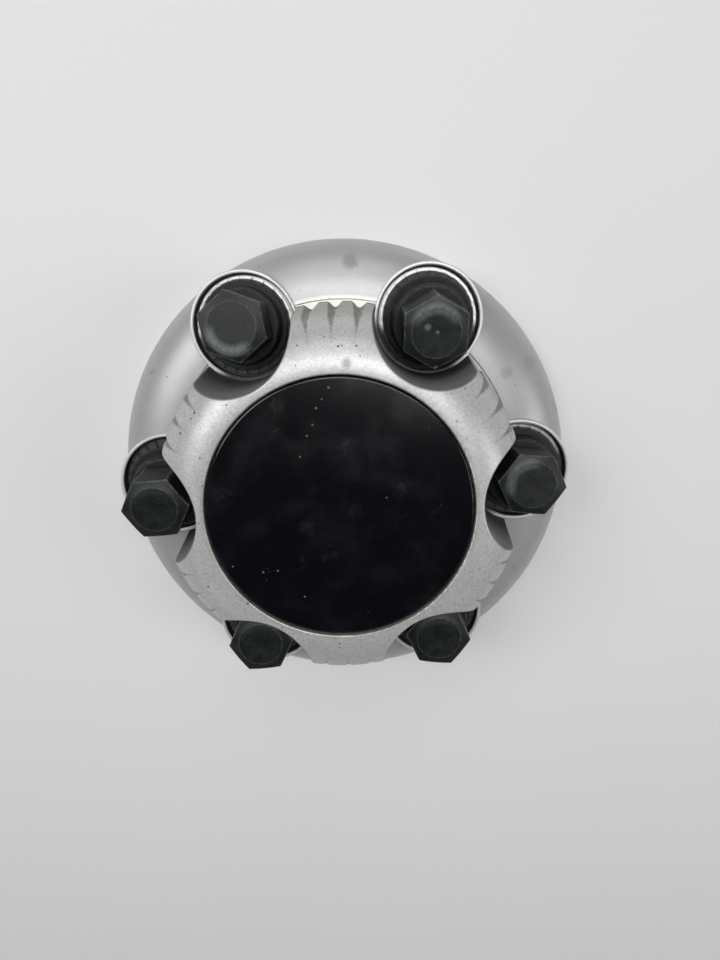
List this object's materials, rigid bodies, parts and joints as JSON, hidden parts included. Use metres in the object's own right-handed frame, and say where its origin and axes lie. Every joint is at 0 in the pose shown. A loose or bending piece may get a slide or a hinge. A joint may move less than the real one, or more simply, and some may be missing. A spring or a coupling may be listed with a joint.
{
  "type": "wheel center cap",
  "caption": "Domed wheel center cap with a fluted crown, a flush center disc, and captive hex nut covers that spin in wells round the crown.",
  "frame": {"origin": "centre of the base plane on which the rim stands", "axes": "+Z out of the wheel through the center disc, +X through the center of a well"},
  "size_m": [0.184, 0.184, 0.0669],
  "materials": {
    "silver_shell": "satin silver paint on moulded plastic, specked and grimy in the flutes",
    "black_disc": "gloss black, finely scratched and dusty",
    "black_nut": "semi-matte black moulded plastic, scuffed on its edges",
    "retainer": "plain black moulded plastic"
  },
  "bodies": {
    "cap": {"cap_shell": "silver_shell", "center_disc": "black_disc"},
    "nut_1": {"nut_cover_1": "black_nut", "nut_retainer_1": "retainer"},
    "nut_2": {"nut_cover_2": "black_nut", "nut_retainer_2": "retainer"},
    "nut_3": {"nut_cover_3": "black_nut", "nut_retainer_3": "retainer"},
    "nut_4": {"nut_cover_4": "black_nut", "nut_retainer_4": "retainer"},
    "nut_5": {"nut_cover_5": "black_nut", "nut_retainer_5": "retainer"},
    "nut_6": {"nut_cover_6": "black_nut", "nut_retainer_6": "retainer"}
  },
  "joints": [
    {"name": "nut_1_spin", "type": "hinge", "parent": "cap", "child": "nut_1", "pos_m": [-0.03492, 0.06049, 0.0178], "axis": [0, 0, 1], "continuous": true},
    {"name": "nut_2_spin", "type": "hinge", "parent": "cap", "child": "nut_2", "pos_m": [0.03492, 0.05958, 0.02048], "axis": [0, -0.1633, 0.9866], "continuous": true},
    {"name": "nut_3_spin", "type": "hinge", "parent": "cap", "child": "nut_3", "pos_m": [0.06985, 0, 0.0178], "axis": [0, 0, 1], "continuous": true},
    {"name": "nut_4_spin", "type": "hinge", "parent": "cap", "child": "nut_4", "pos_m": [0.03492, -0.06049, 0.0178], "axis": [0, 0, 1], "continuous": true},
    {"name": "nut_5_spin", "type": "hinge", "parent": "cap", "child": "nut_5", "pos_m": [-0.03492, -0.06049, 0.0178], "axis": [0, 0, 1], "continuous": true},
    {"name": "nut_6_spin", "type": "hinge", "parent": "cap", "child": "nut_6", "pos_m": [-0.06972, -0.0005, 0.01963], "axis": [0.0288, -0.1077, 0.9938], "continuous": true}
  ]
}
